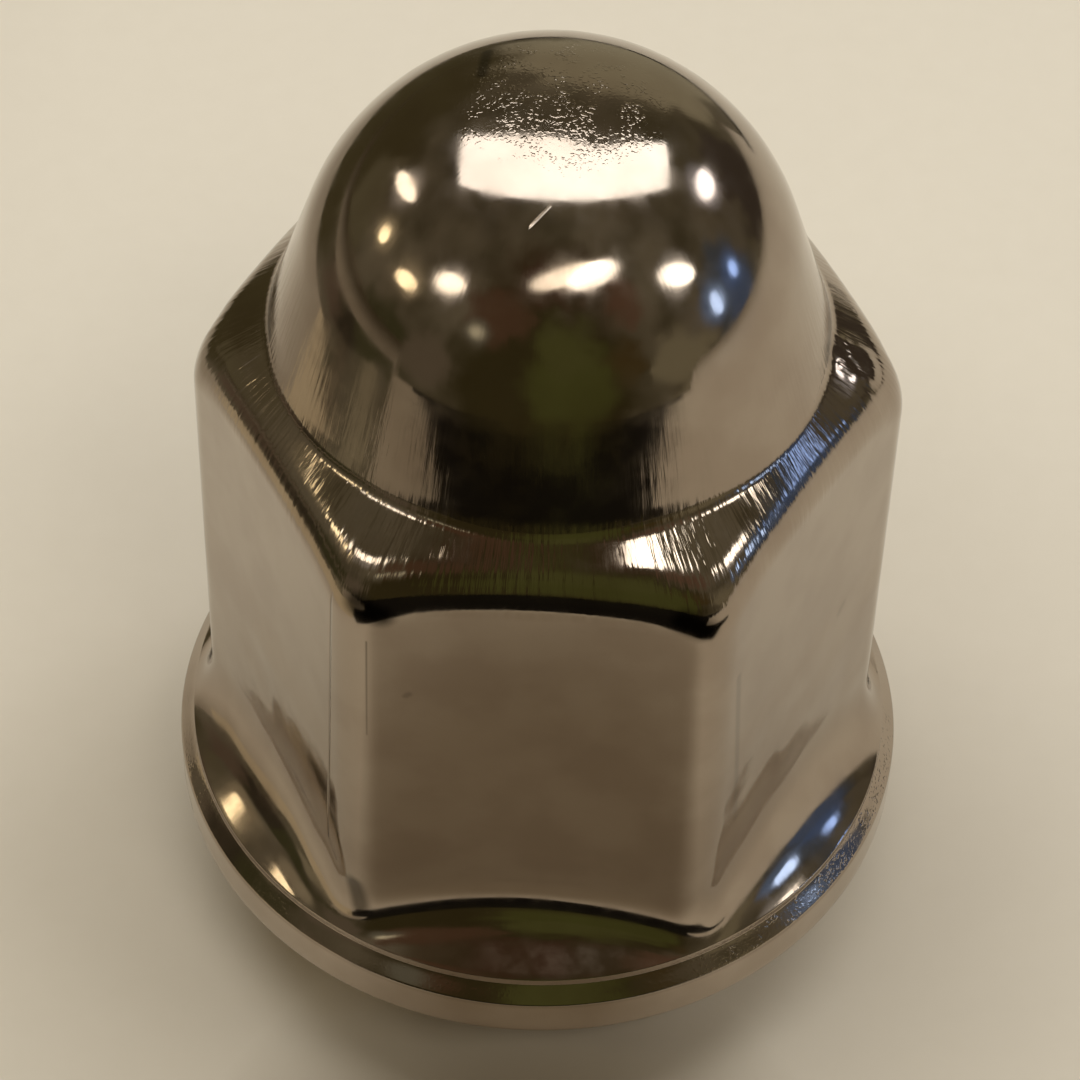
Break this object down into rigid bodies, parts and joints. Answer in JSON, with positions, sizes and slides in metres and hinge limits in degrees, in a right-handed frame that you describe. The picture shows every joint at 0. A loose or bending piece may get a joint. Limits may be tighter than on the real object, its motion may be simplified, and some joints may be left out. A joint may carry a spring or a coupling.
{
  "type": "lug nut",
  "caption": "Chromed closed-end acorn lug nut: rounded hex under a domed cap, thin round flange, conical seat and a blind threaded hole for a wheel stud.",
  "frame": {"origin": "centre of the ring at the lower end of the conical seat, on which the nut stands", "axes": "+Z along the nut's own axis, from the seat towards the dome; +X through one corner of the hex, so that a flat faces -Y"},
  "size_m": [0.0262, 0.0262, 0.0369],
  "materials": {
    "lug_nut": "polished chrome, with fine brush lines on the dome's side and the shoulder"
  },
  "bodies": {
    "root": {"lug_nut": "lug_nut"}
  },
  "joints": []
}
